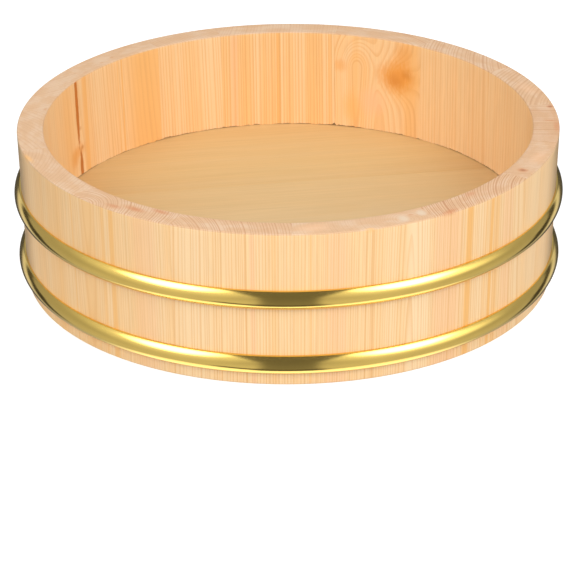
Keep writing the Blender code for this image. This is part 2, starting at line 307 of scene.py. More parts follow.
class WoodLook(bpy.types.PropertyGroup):
    """Colours of the wood."""
    pale: Tint(name="Earlywood", description="Colour between the rings", default=(0.945, 0.655, 0.36))
    ring: Tint(name="Latewood", description="Colour of the ring lines", default=(0.815, 0.435, 0.16))
    warm: Tint(name="Heartwood", description="Colour of warm stripes", default=(0.93, 0.51, 0.165))
    pink: Tint(name="Pink wood", description="Colour of rosy stripes", default=(0.95, 0.565, 0.315))
    cream: Tint(name="Sapwood", description="Colour of the palest stripes", default=(0.95, 0.70, 0.42))
    red: Tint(name="Red wood", description="Colour of resin-soaked end grain", default=(0.66, 0.28, 0.125))
    end_pale: Tint(name="End grain", description="Colour of the sawn ends", default=(0.745, 0.475, 0.275))
    end_ring: Tint(name="End rings", description="Colour of the rings there", default=(0.60, 0.29, 0.14))
    end_cream: Tint(name="Pale ends", description="Colour of pale patches", default=(0.76, 0.53, 0.345))
    end_white: Tint(name="Palest ends", description="Colour round a swirl there", default=(0.78, 0.62, 0.46))
    knot: Tint(name="Knot", description="Colour of knots on the faces", default=(0.84, 0.34, 0.055))
    pitch: Tint(name="Pitch", description="Colour of pitch streaks", default=(0.56, 0.165, 0.015))
    resin: Tint(name="Resin", description="Colour of the darkest resin", default=(0.22, 0.055, 0.012))
    floor_pale: Tint(name="Floor", description="Colour of the floor boards", default=(0.71, 0.485, 0.225))
    floor_front: Tint(name="Floor front", description="Colour of its front", default=(0.65, 0.485, 0.285))
    floor_ring: Tint(name="Floor rings", description="Colour of its streaks", default=(0.655, 0.405, 0.145))
    bamboo: Tint(name="Bamboo", description="Colour of the pins", default=(0.80, 0.62, 0.32))
    bamboo_fibre: Tint(name="Bamboo fibre", description="Colour of its fibres", default=(0.66, 0.46, 0.20))
    roughness: Share(name="Roughness", description="Planed wood", default=0.55)


class BrassLook(bpy.types.PropertyGroup):
    """Polished brass."""
    colour: Tint(name="Brass", description="Colour of the hoops", default=(0.90, 0.635, 0.165))
    roughness: Share(name="Roughness", description="Polish of the hoops", default=0.12)


class StudioLook(bpy.types.PropertyGroup):
    """Camera and light."""
    lens: FloatProperty(name="Lens", description="Focal length in millimetres", default=174.195)
    camera_reach: Length(name="Camera distance", description="Level distance to the tub", default=1.42779)
    camera_height: Length(name="Camera height", description="Height of the camera", default=0.68619)
    tilt: Angle(name="Tilt", description="How far the camera looks down", default=radians(26.2060))
    roll: Angle(name="Roll", description="How far the camera leans", default=radians(0.3551))
    shift: FloatVectorProperty(name="Shift", description="Camera shift across and up", size=2,
                               default=(-0.0021, 0.0009), precision=4)
    sky: FloatProperty(name="Sky", description="Level of the even light", default=0.73)
    key: FloatProperty(name="Key", description="Watts of the left lamp", default=13.0)
    bounce: FloatProperty(name="Bounce", description="Level of the light from below", default=0.38)


ORIGIN = (0.0, 0.0, 0.0)
WHITE = (1.0, 1.0, 1.0, 1.0)
# Multiplied with a vector, this drops its z.
LEVEL = (1.0, 1.0, 0.0)


class Graph:
    """Short hand for one shader node tree. A value is a node's socket, a number, a vector or a colour."""

    def __init__(self, tree):
        self.tree = tree

    def node(self, kind, **settings):
        """A new node with its own settings."""
        made = self.tree.nodes.new("ShaderNode" + kind)
        for name, value in settings.items():
            setattr(made, name, value)
        return made

    def plug(self, socket, value):
        """Links a socket, or sets the value that it holds. A colour may come without its alpha."""
        if isinstance(value, bpy.types.NodeSocket):
            self.tree.links.new(value, socket)
        elif socket.type == "RGBA" and len(value) == 3:
            socket.default_value = (*value, 1.0)
        else:
            socket.default_value = value

    def fill(self, node, **inputs):
        """Fills inputs by name, with spaces for underscores, and gives the outputs back."""
        for name, value in inputs.items():
            self.plug(node.inputs[name.replace("_", " ")], value)
        return node.outputs

    def use(self, kind, *values, output=0, **settings):
        """One output of a new node whose inputs are filled in their own order."""
        made = self.node(kind, **settings)
        for socket, value in zip(made.inputs, values):
            self.plug(socket, value)
        return made.outputs[output]

    def math(self, operation, *values):
        """One sum on numbers."""
        return self.use("Math", *values, operation=operation)

    def times(self, *numbers):
        """Numbers multiplied."""
        return reduce(partial(self.math, "MULTIPLY"), numbers)

    def plus(self, *numbers):
        """Numbers added."""
        return reduce(partial(self.math, "ADD"), numbers)

    def minus(self, first, second):
        """A number less another."""
        return self.math("SUBTRACT", first, second)

    def times_plus(self, first, second, third):
        """Two numbers multiplied, and a third added."""
        return self.math("MULTIPLY_ADD", first, second, third)

    def ramp(self, value, low, high, out_low=0.0, out_high=1.0):
        """Eases from one level to another as the value passes between two limits."""
        return self.use("MapRange", value, low, high, out_low, out_high, interpolation_type="SMOOTHSTEP")

    def within(self, value, start, full, last, end):
        """Rises from 0 to 1 between two limits, and falls back to 0 between two more."""
        return self.times(self.ramp(value, start, full), self.ramp(value, end, last))

    def blend(self, level, share, target):
        """A number moved towards a target by a share: level (1 - share) + share target."""
        return self.plus(self.times(level, self.minus(1.0, share)), self.times(share, target))

    def vector(self, operation, *values):
        """One sum on vectors."""
        output = "Value" if operation in ("LENGTH", "DOT_PRODUCT") else "Vector"
        return self.use("VectorMath", *values, operation=operation, output=output)

    def scaled(self, vector, factors):
        """The vector with each part multiplied."""
        return self.vector("MULTIPLY", vector, factors)

    def parts(self, vector):
        """The x, y and z of a vector."""
        return self.use("SeparateXYZ", vector).node.outputs

    def join(self, x, y, z=0.0):
        """A vector made of its parts."""
        return self.use("CombineXYZ", x, y, z)

    def round_axis(self, place):
        """How far a place is from the Z axis."""
        return self.vector("LENGTH", self.scaled(place, LEVEL))

    def mix(self, factor, first, second, blend="MIX"):
        """Two colours mixed. The node's sockets 6 and 7 are its colours, and its output 2 the mixed one."""
        made = self.node("Mix", data_type="RGBA", blend_type=blend)
        for index, value in ((0, factor), (6, first), (7, second)):
            self.plug(made.inputs[index], value)
        return made.outputs[2]

    def shaded(self, colour, level):
        """A colour multiplied by a number."""
        return self.mix(1.0, colour, self.use("CombineColor", level, level, level), "MULTIPLY")

    def noise(self, place, scale, detail=2.0, roughness=0.5):
        """Smooth noise from 0 to 1. A scale of three numbers has one for each direction."""
        if isinstance(scale, tuple):
            place = self.scaled(place, scale)
            scale = 1.0
        return self.fill(self.node("TexNoise"), Vector=place, Scale=scale, Detail=detail,
                         Roughness=roughness)[0]

    def noise_along(self, number, detail):
        """Smooth noise from 0 to 1 along one number."""
        made = self.node("TexNoise", noise_dimensions="1D")
        return self.fill(made, W=number, Scale=1.0, Detail=detail, Roughness=0.5)[0]

    def group(self, tree, **inputs):
        """The outputs of a shared node group, placed here with its own values."""
        return self.fill(self.node("Group", node_tree=tree), **inputs)

    def place(self):
        """Object coordinates."""
        return self.node("TexCoord").outputs["Object"]

    def turned_place(self, angle):
        """Object coordinates turned about Z, as if what stands at an angle stood at the front."""
        made = self.node("VectorRotate", rotation_type="Z_AXIS")
        return self.fill(made, Vector=self.place(), Angle=-angle)[0]

    def seen(self):
        """1 for what the camera sees, in a mirror or through glass too, and 0 for what only lights."""
        path = self.node("LightPath").outputs
        mirrored = self.math("MAXIMUM", path["Is Glossy Ray"], path["Is Transmission Ray"])
        return self.math("MAXIMUM", path["Is Camera Ray"], mirrored)

    def bump(self, shader, height, strength, distance):
        """Gives a shader a fine relief."""
        relief = self.fill(self.node("Bump"), Strength=strength, Distance=distance, Height=height)
        self.plug(shader.inputs["Normal"], relief[0])

    def surface(self, shader):
        """Puts a shader in the place of the Principled one."""
        nodes = self.tree.nodes
        nodes.remove(nodes["Principled BSDF"])
        self.plug(nodes["Material Output"].inputs["Surface"], shader)


def new_group(name, outputs, **inputs):
    """An empty shader group: its graph, what it is given and what it makes. An input's kind follows from
    its default. An output is a colour if it is named so, and otherwise a number."""
    tree = bpy.data.node_groups.new(name, "ShaderNodeTree")
    for socket, default in inputs.items():
        kind = {1: "Float", 3: "Vector", 4: "Color"}[np.size(default)]
        made = tree.interface.new_socket(socket.replace("_", " "), in_out="INPUT",
                                         socket_type="NodeSocket" + kind)
        made.default_value = default
    for socket in outputs:
        kind = "Color" if socket == "Color" else "Float"
        tree.interface.new_socket(socket, in_out="OUTPUT", socket_type="NodeSocket" + kind)
    given = tree.nodes.new("NodeGroupInput").outputs
    return Graph(tree), given, tree.nodes.new("NodeGroupOutput").inputs


def from_centre(graph, given):
    """Where a place lies from a centre, with the reach as 1."""
    return graph.vector("DIVIDE", graph.vector("SUBTRACT", given["Place"], given["Centre"]), given["Reach"])


def set_apart(graph, given):
    """The place moved by the seed, so that each piece has its own noise."""
    seed = given["Seed"]
    return graph.vector("ADD", given["Place"], graph.join(seed, seed, seed))


def tint_inside(graph, given, made, inside):
    """Mixes the group's tint into its colour, as far as a place is inside the mark."""
    share = graph.times(inside, given["Strength"])
    graph.plug(made["Color"], graph.mix(share, given["Color"], given["Tint"]))
    return graph.tree


@cache
def lift_group():
    """How far growth rings are pushed aside: a smooth hill, height exp(-distance^2), over the distance to
    its middle. Tail stretches the hill's lower side: 1 gives a round knot, and a small number an arch
    with long legs."""
    graph, given, made = new_group("Ring lift", ["Lift"], Place=ORIGIN, Centre=ORIGIN, Reach=ORIGIN,
                                   Height=0.0, Tail=1.0, Add=0.0)
    x, y, z = graph.parts(from_centre(graph, given))
    down = graph.times(graph.math("MINIMUM", z, 0.0), given["Tail"])
    z = graph.plus(graph.math("MAXIMUM", z, 0.0), down)
    distance = graph.vector("LENGTH", graph.join(x, y, z))
    hill = graph.math("EXPONENT", graph.times(graph.math("POWER", distance, 2.0), -1.0))
    graph.plug(made["Lift"], graph.times_plus(hill, given["Height"], given["Add"]))
    return graph.tree


@cache
def wood_group():
    """Solid softwood: rings round a pith line that runs up Z, with fibres along Z. A ring darkens slowly
    and ends sharply. Broad bands and clouds are warmer than the rest."""
    graph, given, made = new_group(
        "Solid softwood", ["Color", "Line", "Height"], Place=ORIGIN, Pith=ORIGIN, Lean=ORIGIN,
        Ring_Width=0.002, Lift=0.0, Waver=0.0012, Show=1.0, Warmth=0.3, Seed=0.0, Pale=WHITE, Ring=WHITE,
        Warm=WHITE)
    seed = given["Seed"]
    apart = set_apart(graph, given)
    up = graph.parts(given["Place"])["Z"]
    lean = graph.scaled(given["Lean"], graph.join(up, up, up))
    across = graph.vector("SUBTRACT", graph.vector("SUBTRACT", given["Place"], given["Pith"]), lean)
    bend = graph.times(graph.minus(graph.noise(apart, BEND_SCALE, 1.0), 0.5), given["Waver"])
    distance = graph.plus(graph.round_axis(across), bend, given["Lift"])
    count = graph.math("DIVIDE", distance, given["Ring Width"])
    drift = graph.noise_along(graph.times_plus(count, 0.37, seed), 1.0)
    count = graph.times_plus(drift, 1.8, count)
    year = graph.node("TexWhiteNoise", noise_dimensions="1D")
    vigour = graph.fill(year, W=graph.plus(graph.math("FLOOR", count), seed))["Value"]
    line = graph.times(graph.within(graph.math("FRACT", count), 0.42, 0.90, 0.92, 1.0),
                       graph.times_plus(vigour, 0.5, 0.5))

    broad = graph.noise_along(graph.times_plus(distance, 95.0, seed), 2.0)
    cloud = graph.noise(apart, CLOUD_SCALE)
    heat = graph.times(graph.ramp(graph.times_plus(cloud, 0.5, broad), 0.5, 1.05), given["Warmth"])
    colour = graph.mix(graph.times(line, given["Show"]), given["Pale"], given["Ring"])
    colour = graph.mix(heat, colour, given["Warm"])
    fibre = graph.noise(apart, FIBRE_SCALE, roughness=0.6)
    graph.plug(made["Color"], graph.shaded(colour, graph.ramp(fibre, 0.25, 0.75, 0.955, 1.035)))
    graph.plug(made["Line"], line)
    graph.plug(made["Height"], graph.times_plus(fibre, 0.6, line))
    return graph.tree


@cache
def stripe_group():
    """Tints the colour in a soft stripe that runs up the wood and strays a little."""
    graph, given, made = new_group("Warm stripe", ["Color"], Color=WHITE, Place=ORIGIN, Across=0.0,
                                   Half_Width=0.001, Strength=0.5, Tint=WHITE)
    stray = graph.minus(graph.noise(given["Place"], STRAY_SCALE), 0.5)
    across = graph.times_plus(stray, 0.0012, graph.parts(given["Place"])["X"])
    away = graph.math("ABSOLUTE", graph.minus(across, given["Across"]))
    inside = graph.ramp(graph.math("DIVIDE", away, given["Half Width"]), 1.35, 0.5)
    return tint_inside(graph, given, made, inside)


@cache
def spot_group():
    """Tints the colour in a soft ragged blob, such as a knot or a spot of pitch."""
    graph, given, made = new_group("Resin spot", ["Color"], Color=WHITE, Place=ORIGIN, Centre=ORIGIN,
                                   Reach=ORIGIN, Core=0.5, Strength=0.8, Tint=WHITE)
    ragged = graph.minus(graph.noise(given["Place"], RAG_SCALE), 0.5)
    distance = graph.times_plus(ragged, 0.4, graph.vector("LENGTH", from_centre(graph, given)))
    return tint_inside(graph, given, made, graph.ramp(distance, given["Core"], 1.0, 1.0, 0.0))


@cache
def end_group():
    """Sawn end of a stave: darker and dusty, with its rings drawn across the wall and soft patches."""
    graph, given, made = new_group("Sawn end", ["Color"], Color=WHITE, Place=ORIGIN, Line=0.0, Show=1.0,
                                   Seed=0.0, Pale=WHITE, Cream=WHITE, Ring=WHITE)
    above = graph.minus(graph.parts(given["Place"])["Z"], HEIGHT)
    pores = graph.noise(given["Place"], PORE_SCALE, 3.0, 0.7)
    patches = graph.noise(set_apart(graph, given), PATCH_SCALE)
    tone = graph.ramp(graph.times_plus(patches, 0.5, pores), 0.45, 1.05, 0.95, 1.04)
    ground = graph.mix(graph.ramp(patches, 0.38, 0.68), given["Pale"], given["Cream"])
    sawn = graph.mix(graph.times(given["Line"], given["Show"]), ground, given["Ring"])
    end = graph.ramp(above, *END_EDGE)
    graph.plug(made["Color"], graph.mix(end, given["Color"], graph.shaded(sawn, tone)))
    return graph.tree


def new_material(name):
    """A node material: its graph and its Principled shader."""
    material = bpy.data.materials.new(name)
    material.use_nodes = True
    return material, Graph(material.node_tree), material.node_tree.nodes["Principled BSDF"]


def finish_wood(graph, shader, colour, height, look, handled=0.0):
    """Roughness and a fine bump that follows the grain. At a glancing angle the surface keeps some of
    the light out, so the wood gives less of its own colour there, most of all where it is handled."""
    glance = graph.use("Fresnel", 1.45)
    facing = graph.node("LayerWeight").outputs["Facing"]
    worn = graph.times(graph.ramp(facing, 0.74, 0.96, 0.0, 0.5), handled)
    kept = graph.times(graph.times_plus(glance, -0.15, 1.0), graph.minus(1.0, worn))
    roughness = graph.ramp(height, 0.0, 1.4, look.roughness + 0.07, look.roughness - 0.08)
    graph.fill(shader, Base_Color=graph.shaded(colour, kept), Specular_IOR_Level=0.3, Roughness=roughness)
    graph.bump(shader, height, 0.5, GRAIN_DEPTH)


def outer_radius(sizes, z):
    """Radius of the wall's outer face at a height."""
    return sizes.rim_radius - sizes.side_taper * (1.0 - z / HEIGHT)


def inner_radius(sizes, z):
    """Radius of the wall's inner face at a height."""
    return outer_radius(sizes, z) - sizes.wall


def on_wall(mark, middle, sizes):
    """A mark's centre and reach in metres, as stave coordinates. It gives the centre by angle round the
    tub, depth in from the rim's outer edge and depth below the rim, in degrees and millimetres."""
    angle, inward, below, *reach = mark[:6]
    radius = sizes.rim_radius - inward * MM
    turn = radians(angle) - middle
    centre = (radius * sin(turn), -radius * cos(turn), HEIGHT - below * MM)
    return {"Centre": centre, "Reach": [part * MM for part in reach]}


def add_marks(graph, colour, place, middle, sizes, look, marks):
    """The colour with knots and spots of pitch on it."""
    for mark in marks:
        core, strength, tint = mark[6:]
        colour = graph.group(spot_group(), Color=colour, Place=place, **on_wall(mark, middle, sizes),
                             Core=core, Strength=strength, Tint=getattr(look, tint))["Color"]
    return colour


def stave_material(name, middle, sizes, look):
    """The wood of one stave, with its rings, its stripes and its marks. What happens on a face comes
    before the sawn end is laid over it, and the end's own marks come after."""
    along, out, ring, lean_along, lean_in, show, end, warm = STAVE_CUTS[name]
    material, graph, shader = new_material(name + "_wood")
    place = graph.turned_place(middle)
    number = STAVE_NAMES.index(name)
    lift = 0.0
    for mark in RING_LIFTS.get(name, []):
        height, tail = mark[6:]
        lift = graph.group(lift_group(), Place=place, **on_wall(mark, middle, sizes), Height=height * MM,
                           Tail=tail, Add=lift)["Lift"]
    wood = graph.group(wood_group(), Place=place, Pith=(along * MM, -sizes.rim_radius - out * MM, 0.0),
                       Lean=(lean_along, lean_in, 0.0), Ring_Width=ring * MM, Lift=lift,
                       Show=FACE_SHOW * show, Warmth=warm, Seed=3.7 * number, Pale=look.pale,
                       Ring=look.ring, Warm=look.warm)
    colour = wood["Color"]
    for angle, width, strength, tint in STRIPES.get(name, []):
        across = sizes.rim_radius * sin(radians(angle) - middle)
        colour = graph.group(stripe_group(), Color=colour, Place=place, Across=across, Strength=strength,
                             Half_Width=width * MM / 2.0, Tint=getattr(look, tint))["Color"]
    colour = graph.mix(graph.times(wood["Line"], STRIPE_SHOW * show), colour, look.ring)
    marks = RESIN_SPOTS.get(name, [])
    on_face = [mark for mark in marks if mark[2] > 0]
    on_end = [mark for mark in marks if mark[2] == 0]
    colour = add_marks(graph, colour, place, middle, sizes, look, on_face)
    colour = graph.group(end_group(), Color=colour, Place=place, Line=wood["Line"], Show=end,
                         Seed=1.3 * number, Pale=look.end_pale, Cream=look.end_cream,
                         Ring=look.end_ring)["Color"]
    colour = add_marks(graph, colour, place, middle, sizes, look, on_end)
    start, full = (sizes.rim_radius - depth for depth in HANDLED_DEPTHS)
    outside = graph.ramp(graph.round_axis(place), start, full)
    finish_wood(graph, shader, colour, wood["Height"], look, outside)
    return material


def rounded_outline(corners):
    """A closed outline of radius and height: straight runs between corners, each corner an arc of its
    own radius. Each corner is (radius, height, arc radius, points along the run to the next corner)."""
    points = []
    for index, (r, z, arc, run) in enumerate(corners):
        corner = np.array((r, z))
        last = np.array(corners[index - 1][:2]) - corner
        after = np.array(corners[(index + 1) % len(corners)][:2]) - corner
        last /= np.hypot(*last)
        after /= np.hypot(*after)
        half = np.arccos(np.clip(last @ after, -1.0, 1.0)) / 2.0
        leave = corner
        if arc > 0.0:
            centre = corner + (last + after) / np.hypot(*(last + after)) * arc / sin(half)
            start = corner + last * arc / tan(half) - centre
            end = corner + after * arc / tan(half) - centre
            turn = np.arccos(np.clip(start @ end / arc ** 2, -1.0, 1.0))
            share = np.linspace(0.0, 1.0, CORNER_POINTS)[:, None]
            points.extend(centre + (start * np.sin((1.0 - share) * turn) + end * np.sin(share * turn))
                          / sin(turn))
            leave = centre + end
        else:
            points.append(corner)
        target = np.array(corners[(index + 1) % len(corners)][:2])
        for step in range(1, run):
            points.append(leave + (target - leave) * step / run)
    return np.array(points)


def mesh_from(name, points, faces, sharp=radians(28.0)):
    """A mesh with smooth faces, and with sharp edges where they meet at more than an angle."""
    mesh = bpy.data.meshes.new(name)
    mesh.from_pydata(points, [], faces)
    mesh.validate()
    mesh.shade_smooth()
    mesh.set_sharp_from_angle(angle=sharp)
    return mesh


def new_object(name, data):
    """An object of its own in the scene."""
    made = bpy.data.objects.new(name, data)
    bpy.context.scene.collection.objects.link(made)
    return made


def add_piece(name, mesh, node, material):
    """A finished piece that stands for a frame node."""
    piece = new_object(name, mesh)
    mesh.materials.append(material)
    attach(piece, "root")
    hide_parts(node)


def carried_round(radius, height, angles):
    """Points (r sin a, -r cos a, z): rows of radii and heights carried round the tub's axis."""
    radius, height, angles = np.broadcast_arrays(radius, height, angles)
    return np.stack([radius * np.sin(angles), -radius * np.cos(angles), height], axis=-1).reshape(-1, 3)


def loop_faces(rows, columns, wrap):
    """Quads of a grid whose rows close on themselves, and whose columns do too if wrap is set."""
    row = np.arange(rows)
    column = np.arange(columns if wrap else columns - 1)
    row, column = (grid.ravel() for grid in np.meshgrid(row, column, indexing="ij"))
    after = (row + 1) % rows
    beside = (column + 1) % columns
    return np.stack([row * columns + column, after * columns + column,
                     after * columns + beside, row * columns + beside], axis=1)


def floor_gap(sizes, angles, joints):
    """How high the wall's lower edge stands over the floor: a thin dark line with torn chips. A sum of
    slow and quick waves and of bell-shaped chips, height exp(-(turn / width)^2): small ones all round,
    larger ones at the joints, and those of the list."""
    random = np.random.RandomState(sizes.seed)
    waves = random.uniform(0.0, 2.0 * pi, 6)
    gap = sizes.floor_gap + 0.7 * sizes.floor_gap * sum(
        np.sin(angles * rate + phase) for rate, phase in zip((9, 23, 57, 131, 277, 431), waves)) / 2.0
    places = np.concatenate([joints, random.uniform(0.0, 2.0 * pi, LOOSE_CHIPS)])
    heights = np.concatenate([random.uniform(0.00015, 0.0006, len(joints)),
                              random.uniform(0.00005, 0.00035, LOOSE_CHIPS)])
    widths = random.uniform(0.0025, 0.009, len(places))
    angle, height, width = np.array(CHIPS).T
    places = np.append(places, np.radians(angle))
    heights = np.append(heights, height * MM)
    widths = np.append(widths, np.radians(width))
    for place, height, width in zip(places, heights, widths):
        turn = (angles - place + pi) % (2.0 * pi) - pi
        gap = gap + height * np.exp(-(turn / width) ** 2)
    return np.maximum(gap, LEAST_GAP)


def stave_mesh(name, start, end, sizes, joints):
    """A stave: its rounded section carried round the tub's axis, drawn in a little at the first and last
    angle, and with a ragged lower edge over the floor."""
    groove = inner_radius(sizes, FLOOR_TOP) + sizes.groove_depth
    outline = rounded_outline([
        (outer_radius(sizes, 0.0), 0.0, sizes.foot_round, 24),
        (outer_radius(sizes, HEIGHT), HEIGHT, sizes.rim_round, 6),
        (inner_radius(sizes, HEIGHT), HEIGHT, sizes.rim_round, 16),
        (inner_radius(sizes, FLOOR_TOP + TORN_HEIGHT), FLOOR_TOP + TORN_HEIGHT, 0.0, 3),
        (inner_radius(sizes, FLOOR_TOP), FLOOR_TOP, 0.0, 2),
        (groove, FLOOR_TOP, 0.0, 1),
        (groove, FLOOR_UNDERSIDE, 0.0, 2),
        (inner_radius(sizes, FLOOR_UNDERSIDE), FLOOR_UNDERSIDE, 0.0, 6),
        (inner_radius(sizes, 0.0), 0.0, sizes.foot_round, 6),
    ])
    opening = sizes.joint_gap / 2.0 / sizes.rim_radius
    side = (start + opening, end - opening)
    step = sizes.edge_break / sizes.rim_radius
    count = max(LEAST_COLUMNS, int((side[1] - side[0]) / COLUMN_STEP))
    inner = np.linspace(side[0] + step, side[1] - step, count)
    angles = np.concatenate([[side[0]], inner, [side[1]]])
    forward = np.roll(outline, -1, axis=0) - np.roll(outline, 1, axis=0)
    outward = np.stack([forward[:, 1], -forward[:, 0]], axis=1)
    outward /= np.hypot(*outward.T)[:, None]
    inset = np.zeros(len(angles))
    inset[[0, -1]] = sizes.edge_break
    radius = outline[:, 0][:, None] - outward[:, 0][:, None] * inset
    height = outline[:, 1][:, None] - outward[:, 1][:, None] * inset
    gap = floor_gap(sizes, angles, joints)
    near_seat = np.clip((FLOOR_TOP + TORN_HEIGHT - outline[:, 1]) / TORN_HEIGHT, 0.0, 1.0)
    near_seat[outline[:, 1] < FLOOR_TOP - 0.0001] = 0.0
    height = height + near_seat[:, None] * gap
    rows, columns = radius.shape
    faces = loop_faces(rows, columns, wrap=False)[:, ::-1].tolist()
    first = np.arange(rows) * columns
    faces.append(first.tolist())
    faces.append((first + columns - 1)[::-1].tolist())
    return mesh_from(name, carried_round(radius, height, angles), faces)


def stave_joints():
    """The angle of the joint before each stave, halfway between the two staves in the frame."""
    spans = [node_span(name) for name in STAVE_NAMES]
    joints = []
    for index, (start, end) in enumerate(spans):
        gap = (start - spans[index - 1][1] + pi) % (2.0 * pi) - pi
        joints.append(start - gap / 2.0)
    return joints


class RICETUB_OT_staves(bpy.types.Operator):
    """Stands the ring of grained staves round the floor."""
    bl_idname = "rice_tub.staves"
    bl_label = "Add staves"

    def execute(self, context):
        sizes = context.scene.rice_tub_sizes
        look = context.scene.rice_tub_wood
        joints = stave_joints()
        for index, name in enumerate(STAVE_NAMES):
            start = joints[index]
            end = start + (joints[(index + 1) % len(joints)] - start) % (2.0 * pi)
            middle = (start + end) / 2.0
            mesh = stave_mesh(name + "_planed", start, end, sizes, np.array(joints))
            add_piece(name + "_planed", mesh, name, stave_material(name, middle, sizes, look))
        return {"FINISHED"}


def board_material(name, sizes, look):
    """Flat-sawn floor board: the same solid wood, laid down with its fibres along the board."""
    number = BOARD_NAMES.index(name)
    material, graph, shader = new_material(name + "_wood")
    along, across, up = graph.parts(graph.turned_place(sizes.grain_angle))
    pith_across, pith_depth, lean = BOARD_CUTS[number]
    pale = graph.mix(graph.ramp(across, -0.05, 0.08), look.floor_front, look.floor_pale)
    wood = graph.group(wood_group(), Place=graph.join(across, up, along), Lean=(0.0, lean, 0.0),
                       Pith=(pith_across, pith_depth, 0.0), Ring_Width=0.0021, Waver=0.003, Show=0.26,
                       Warmth=0.22, Seed=11.3 + 5.1 * number, Pale=pale, Ring=look.floor_ring,
                       Warm=look.floor_ring)
    finish_wood(graph, shader, wood["Color"], wood["Height"], look)
    return material


def board_mesh(name, low, high, sizes):
    """A floor board: the part of a disc between two lines along the grain, as stacked copies of its
    outline. The outline runs along the disc's arc on each side, x = sqrt(R^2 - y^2), and straight
    along the seams; the first and last copies are drawn in as a small chamfer."""
    radius = FLOOR_RADIUS + FLOOR_PRESS
    across = np.linspace(low, high, SIDE_POINTS)
    if high > radius - MM:
        across = radius * np.sin(np.linspace(np.arcsin(low / radius), pi / 2.0, SIDE_POINTS))[:-1]
    if low < -radius + MM:
        across = radius * np.sin(np.linspace(-pi / 2.0, np.arcsin(high / radius), SIDE_POINTS))[1:]
    reach = np.sqrt(np.maximum(radius ** 2 - across ** 2, 0.0))
    outline = np.concatenate([np.stack([reach, across], 1), np.stack([-reach, across], 1)[::-1]])
    centre = outline.mean(axis=0)
    drawn_in = centre + (outline - centre) * (1.0 - BOARD_CHAMFER / BOARD_HALF_WIDTH)
    layers = [(drawn_in, FLOOR_UNDERSIDE), (outline, FLOOR_UNDERSIDE + BOARD_CHAMFER),
              (outline, FLOOR_TOP - BOARD_CHAMFER), (drawn_in, FLOOR_TOP)]
    turn = np.array([[cos(sizes.grain_angle), sin(sizes.grain_angle)],
                     [-sin(sizes.grain_angle), cos(sizes.grain_angle)]])
    points = np.concatenate([np.column_stack([flat @ turn, np.full(len(flat), z)]) for flat, z in layers])
    around = np.arange(len(outline))
    faces = []
    for base in range(0, len(points) - len(outline), len(outline)):
        low_side = base + around
        low_next = np.roll(low_side, -1)
        faces += np.stack([low_side, low_next, low_next + len(outline), low_side + len(outline)], 1).tolist()
    faces.append(around[::-1].tolist())
    faces.append((around + len(points) - len(outline)).tolist())
    return mesh_from(name, points, faces)


class RICETUB_OT_floor(bpy.types.Operator):
    """Lays the floor boards."""
    bl_idname = "rice_tub.floor"
    bl_label = "Add floor"

    def execute(self, context):
        sizes = context.scene.rice_tub_sizes
        look = context.scene.rice_tub_wood
        lines = np.linspace(-FLOOR_RADIUS, FLOOR_RADIUS, len(BOARD_NAMES) + 1)
        lows = [-FLOOR_RADIUS - FLOOR_PRESS, *(lines[1:-1] + BOARD_SEAM)]
        highs = [*(lines[1:-1] - BOARD_SEAM), FLOOR_RADIUS + FLOOR_PRESS]
        for name, low, high in zip(BOARD_NAMES, lows, highs):
            mesh = board_mesh(name + "_planed", low, high, sizes)
            add_piece(name + "_planed", mesh, name, board_material(name, sizes, look))
        return {"FINISHED"}


def brass_material(look):
    """Polished brass with faint polishing lines round the hoop."""
    material, graph, shader = new_material("polished_brass")
    place = graph.place()
    section = graph.join(graph.round_axis(place), graph.parts(place)["Z"])
    lines = graph.noise(section, 2600.0, 3.0, 0.6)
    cloud = graph.noise(place, 45.0, 3.0, 0.6)
    dulled = tuple(0.94 * part for part in look.colour)
    worn = graph.times_plus(cloud, 0.05, graph.times(lines, 0.05))
    graph.fill(shader, Base_Color=graph.mix(graph.ramp(cloud, 0.3, 0.75), look.colour, dulled), Metallic=1.0,
               Roughness=graph.plus(worn, look.roughness - 0.05))
    graph.bump(shader, lines, 0.12, POLISH_DEPTH)
    return material


def hoop_mesh(name, middle, sizes):
    """A hoop of pressed sheet: its face is an arc of a circle that swings as far as its shoulders, with
    a radius of (half height - shoulder) / sin(swing) + shoulder. The shoulders turn in smaller arcs
    to the flat lips, and the back is a half ellipse, one sheet's thickness in. The section is carried
    all the way round."""
    half = sizes.hoop_height / 2.0
    swing = sizes.hoop_swing
    shoulder = sizes.hoop_shoulder
    bow = (half - shoulder) / sin(swing) + shoulder
    angle = np.linspace(swing, -swing, FACE_POINTS)
    face = np.stack([sizes.hoop_bulge - bow + bow * np.cos(angle), bow * np.sin(angle)], axis=1)
    angle = np.linspace(pi / 2.0, swing, SHOULDER_POINTS)[:-1]
    turn = np.stack([face[0, 0] + shoulder * (np.cos(angle) - cos(swing)),
                     half - shoulder + shoulder * np.sin(angle)], axis=1)
    t = np.linspace(-pi / 2.0, pi / 2.0, BACK_POINTS)
    back = np.stack([(sizes.hoop_bulge - sizes.hoop_sheet) * np.cos(t),
                     (half - sizes.hoop_sheet) * np.sin(t)], axis=1)
    lip = np.concatenate([[[0.0, half]], turn])
    section = np.concatenate([lip, face, lip[::-1] * (1.0, -1.0), back])
    height = middle + section[:, 1]
    radius = outer_radius(sizes, height) + HOOP_CLEARANCE + section[:, 0]
    angles = np.linspace(0.0, 2.0 * pi, HOOP_STEPS, endpoint=False)
    faces = loop_faces(len(section), len(angles), wrap=True).tolist()
    return mesh_from(name, carried_round(radius[:, None], height[:, None], angles), faces, radians(35.0))


